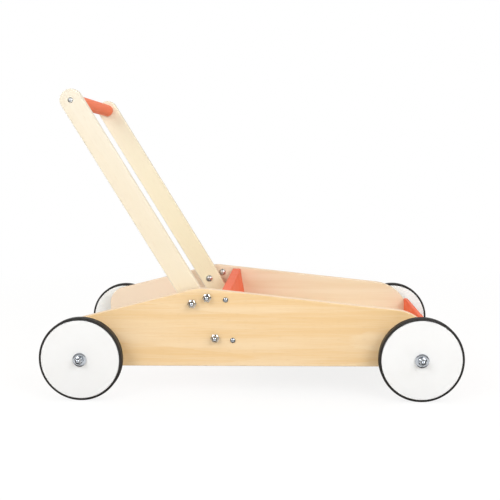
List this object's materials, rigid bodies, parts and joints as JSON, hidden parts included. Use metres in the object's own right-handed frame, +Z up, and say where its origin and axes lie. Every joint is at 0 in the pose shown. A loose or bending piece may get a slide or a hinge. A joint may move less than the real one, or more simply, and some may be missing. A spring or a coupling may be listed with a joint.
{
  "type": "baby push walker",
  "caption": "Wooden baby push walker: a low plywood wagon on rubber-tyred disc wheels, with a leaning push handle that bolts in a rear or a forward place.",
  "frame": {"origin": "on the floor, under the middle of the walker's box, midway between the axles", "axes": "+X forward, away from the child who pushes; +Y to the walker's left; +Z up"},
  "size_m": [0.5524, 0.3472, 0.4075],
  "materials": {
    "plywood": "pale birch plywood under clear matt lacquer",
    "beech": "pale solid beech, rounded edges, clear matt lacquer",
    "red_paint": "wood under satin orange-red paint",
    "white_disc": "wood disc under satin white paint",
    "tyre_rubber": "thin black rubber band, semi-matt",
    "zinc_steel": "bright zinc-plated steel",
    "nylon": "natural nylon"
  },
  "bodies": {
    "chassis": {"arm_spacer_left": "nylon", "arm_spacer_right": "nylon", "axle_cap_nut_front_left": "zinc_steel", "axle_cap_nut_front_right": "zinc_steel", "axle_cap_nut_rear_left": "zinc_steel", "axle_cap_nut_rear_right": "zinc_steel", "axle_spacer_front_left": "nylon", "axle_spacer_front_right": "nylon", "axle_spacer_rear_left": "nylon", "axle_spacer_rear_right": "nylon", "axle_washer_front_left": "zinc_steel", "axle_washer_front_right": "zinc_steel", "axle_washer_rear_left": "zinc_steel", "axle_washer_rear_right": "zinc_steel", "floor_board": "plywood", "front_axle": "zinc_steel", "front_board": "red_paint", "front_board_screw_lower_left": "zinc_steel", "front_board_screw_lower_right": "zinc_steel", "front_board_screw_upper_left": "zinc_steel", "front_board_screw_upper_right": "zinc_steel", "lock_cap_nut_left": "zinc_steel", "lock_cap_nut_right": "zinc_steel", "parked_bolt_left": "zinc_steel", "parked_bolt_right": "zinc_steel", "parked_cap_nut_left": "zinc_steel", "parked_cap_nut_right": "zinc_steel", "pivot_bolt_left": "zinc_steel", "pivot_bolt_right": "zinc_steel", "pivot_cap_nut_left": "zinc_steel", "pivot_cap_nut_right": "zinc_steel", "rear_axle": "zinc_steel", "rear_board": "red_paint", "rear_board_screw_lower_left": "zinc_steel", "rear_board_screw_lower_right": "zinc_steel", "rear_board_screw_upper_left": "zinc_steel", "rear_board_screw_upper_right": "zinc_steel", "side_panel_left": "plywood", "side_panel_right": "plywood"},
    "handle": {"bar_screw_left": "zinc_steel", "bar_screw_right": "zinc_steel", "handle_arm_left": "beech", "handle_arm_right": "beech", "handle_bar": "red_paint", "lock_bolt_left": "zinc_steel", "lock_bolt_right": "zinc_steel"},
    "wheel_front_right": {"hub_bush_front_right": "nylon", "tyre_front_right": "tyre_rubber", "wheel_disc_front_right": "white_disc"},
    "wheel_front_left": {"hub_bush_front_left": "nylon", "tyre_front_left": "tyre_rubber", "wheel_disc_front_left": "white_disc"},
    "wheel_rear_right": {"hub_bush_rear_right": "nylon", "tyre_rear_right": "tyre_rubber", "wheel_disc_rear_right": "white_disc"},
    "wheel_rear_left": {"hub_bush_rear_left": "nylon", "tyre_rear_left": "tyre_rubber", "wheel_disc_rear_left": "white_disc"}
  },
  "joints": [
    {"name": "handle_tilt", "type": "hinge", "parent": "chassis", "child": "handle", "pos_m": [-0.0462, 0, 0.07834], "axis": [0, 1, 0], "range_deg": [0, 22.5]},
    {"name": "wheel_front_right_spin", "type": "hinge", "parent": "chassis", "child": "wheel_front_right", "pos_m": [0.2215, -0.1531, 0.05473], "axis": [0, 1, 0], "continuous": true},
    {"name": "wheel_front_left_spin", "type": "hinge", "parent": "chassis", "child": "wheel_front_left", "pos_m": [0.2215, 0.1531, 0.05473], "axis": [0, 1, 0], "continuous": true},
    {"name": "wheel_rear_right_spin", "type": "hinge", "parent": "chassis", "child": "wheel_rear_right", "pos_m": [-0.2215, -0.1531, 0.05473], "axis": [0, 1, 0], "continuous": true},
    {"name": "wheel_rear_left_spin", "type": "hinge", "parent": "chassis", "child": "wheel_rear_left", "pos_m": [-0.2215, 0.1531, 0.05473], "axis": [0, 1, 0], "continuous": true}
  ]
}
